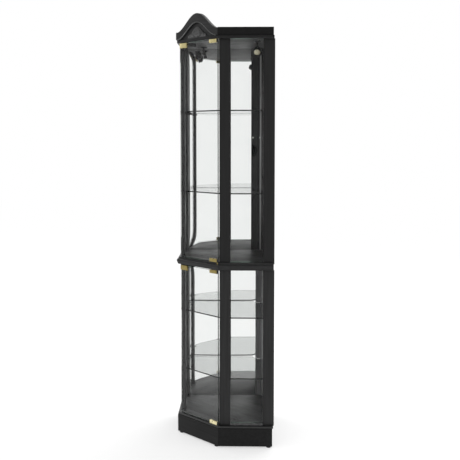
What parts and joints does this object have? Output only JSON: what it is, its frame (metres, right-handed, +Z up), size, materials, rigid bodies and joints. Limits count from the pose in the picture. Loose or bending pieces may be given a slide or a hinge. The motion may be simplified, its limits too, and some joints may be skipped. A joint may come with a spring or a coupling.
{
  "type": "corner display cabinet",
  "caption": "Corner display cabinet with angled glazed sides, mirrored back walls, glass shelves, frameless pivoting glass doors, tilting lamps and a crested cornice.",
  "frame": {"origin": "centre of the bounding box's bottom face, where the glides meet the floor", "axes": "+Z up, the door facet faces -Y, the room corner is at +Y, +X to the right for someone facing the door"},
  "size_m": [0.5854, 0.4554, 1.8],
  "materials": {
    "black_wood": "satin black lacquer over fine grain",
    "black_board": "semi-gloss black lacquered panel",
    "crest_wood": "satin black lacquer over open grain",
    "clear_glass": "polished clear float glass with green edges",
    "mirror_glass": "silvered float glass",
    "polished_brass": "polished brass",
    "black_plastic": "fine satin",
    "lamp_metal": "semi-gloss black paint",
    "bulb_glass": "frosted warm lamp glass",
    "bright_steel": "nickel plated"
  },
  "bodies": {
    "cabinet": {"plinth_front": "black_wood", "plinth_right": "black_wood", "plinth_left": "black_wood", "plinth_back": "black_wood", "base_board": "black_wood", "waist_board": "black_wood", "waist_moulding_front": "black_wood", "waist_moulding_right": "black_wood", "waist_moulding_left": "black_wood", "cornice_right": "black_wood", "cornice_left": "black_wood", "top_board": "black_wood", "lower_floor": "black_board", "upper_floor": "black_board", "crest": "crest_wood", "glide_right_rear": "black_plastic", "glide_right_front": "black_plastic", "glide_left_front": "black_plastic", "glide_left_rear": "black_plastic", "glide_back": "black_plastic", "lower_front_stile_right": "black_wood", "lower_rear_stile_right": "black_wood", "lower_back_board_right": "black_board", "lower_side_glass_right": "clear_glass", "lower_mirror_right": "mirror_glass", "lower_front_stile_left": "black_wood", "lower_rear_stile_left": "black_wood", "lower_back_board_left": "black_board", "lower_side_glass_left": "clear_glass", "lower_mirror_left": "mirror_glass", "lower_1_shelf": "clear_glass", "lower_2_shelf": "clear_glass", "lower_latch_body": "black_plastic", "upper_front_stile_right": "black_wood", "upper_rear_stile_right": "black_wood", "upper_back_board_right": "black_board", "upper_side_glass_right": "clear_glass", "upper_mirror_right": "mirror_glass", "upper_front_stile_left": "black_wood", "upper_rear_stile_left": "black_wood", "upper_back_board_left": "black_board", "upper_side_glass_left": "clear_glass", "upper_mirror_left": "mirror_glass", "upper_1_shelf": "clear_glass", "upper_2_shelf": "clear_glass", "upper_latch_body": "black_plastic", "lamp_base_right": "lamp_metal", "lamp_base_left": "lamp_metal"},
    "lower_door": {"lower_door_glass": "clear_glass", "lower_hinge_top": "polished_brass", "lower_hinge_bottom": "polished_brass", "lower_strike_clip": "polished_brass"},
    "lower_latch_tip": {"lower_latch_plunger": "black_plastic"},
    "upper_door": {"upper_door_glass": "clear_glass", "upper_hinge_top": "polished_brass", "upper_hinge_bottom": "polished_brass", "upper_strike_clip": "polished_brass"},
    "upper_latch_tip": {"upper_latch_plunger": "black_plastic"},
    "lamp_right": {"lamp_head_right": "lamp_metal"},
    "lamp_left": {"lamp_head_left": "lamp_metal"}
  },
  "joints": [
    {"name": "lower_door_hinge", "type": "hinge", "parent": "cabinet", "child": "lower_door", "pos_m": [0.1175, -0.2167, 0.415], "axis": [0, 0, 1], "range_deg": [0, 105]},
    {"name": "upper_door_hinge", "type": "hinge", "parent": "cabinet", "child": "upper_door", "pos_m": [0.1175, -0.2167, 1.231], "axis": [0, 0, 1], "range_deg": [0, 105]},
    {"name": "lower_latch_push", "type": "slide", "parent": "cabinet", "child": "lower_latch_tip", "axis": [0, 1, 0], "range_m": [0, 0.004], "stiffness_N_per_m": 250},
    {"name": "upper_latch_push", "type": "slide", "parent": "cabinet", "child": "upper_latch_tip", "axis": [0, 1, 0], "range_m": [0, 0.004], "stiffness_N_per_m": 250},
    {"name": "lamp_tilt_right", "type": "hinge", "parent": "cabinet", "child": "lamp_right", "pos_m": [0.16476, -0.03605, 1.659], "axis": [0.7071, 0.7071, 0], "range_deg": [-38, 32]},
    {"name": "lamp_tilt_left", "type": "hinge", "parent": "cabinet", "child": "lamp_left", "pos_m": [-0.16476, -0.03605, 1.659], "axis": [0.7071, -0.7071, 0], "range_deg": [-10, 60]}
  ]
}
